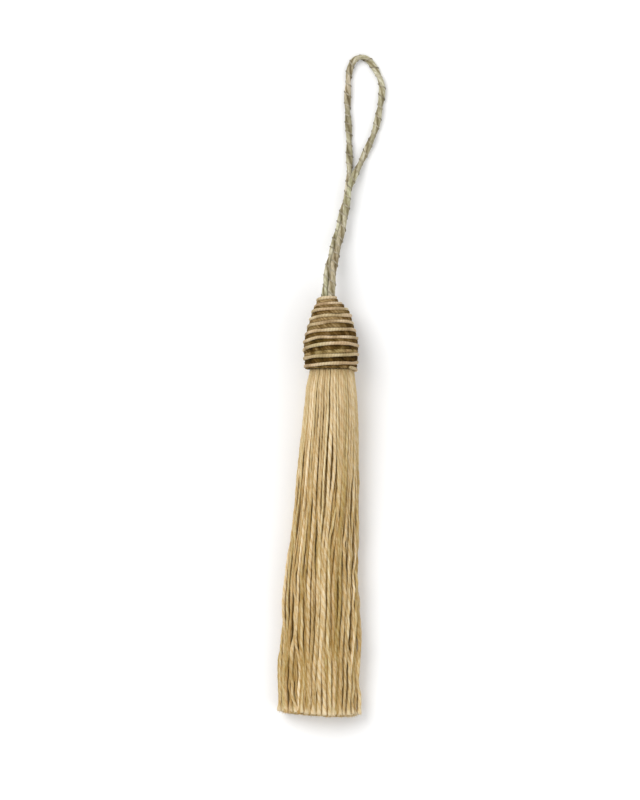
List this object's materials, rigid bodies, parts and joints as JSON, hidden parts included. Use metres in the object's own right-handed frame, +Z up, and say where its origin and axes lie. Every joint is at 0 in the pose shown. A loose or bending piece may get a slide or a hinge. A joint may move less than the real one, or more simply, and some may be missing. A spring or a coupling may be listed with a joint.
{
  "type": "silk tassel",
  "caption": "Silk tassel lying flat: a fanned skirt of yarn under a bell-shaped wound head, with a doubled cord loop at the top.",
  "frame": {"origin": "on the surface, under the middle of the head and skirt together, the loop left out", "axes": "+Y up the tassel, from the hem towards the loop; +Z up from the surface that it lies on"},
  "size_m": [0.0329, 0.199, 0.0164],
  "materials": {
    "silk_yarn": "lustrous twisted yarn",
    "dark_cord": "twisted cord",
    "gimp": "thread-wrapped gimp",
    "loop_cord": "two-ply twisted cord"
  },
  "bodies": {
    "root": {"skirt": "silk_yarn", "head_wrap": "dark_cord", "gimp": "gimp", "hanging_loop": "loop_cord"}
  },
  "joints": []
}
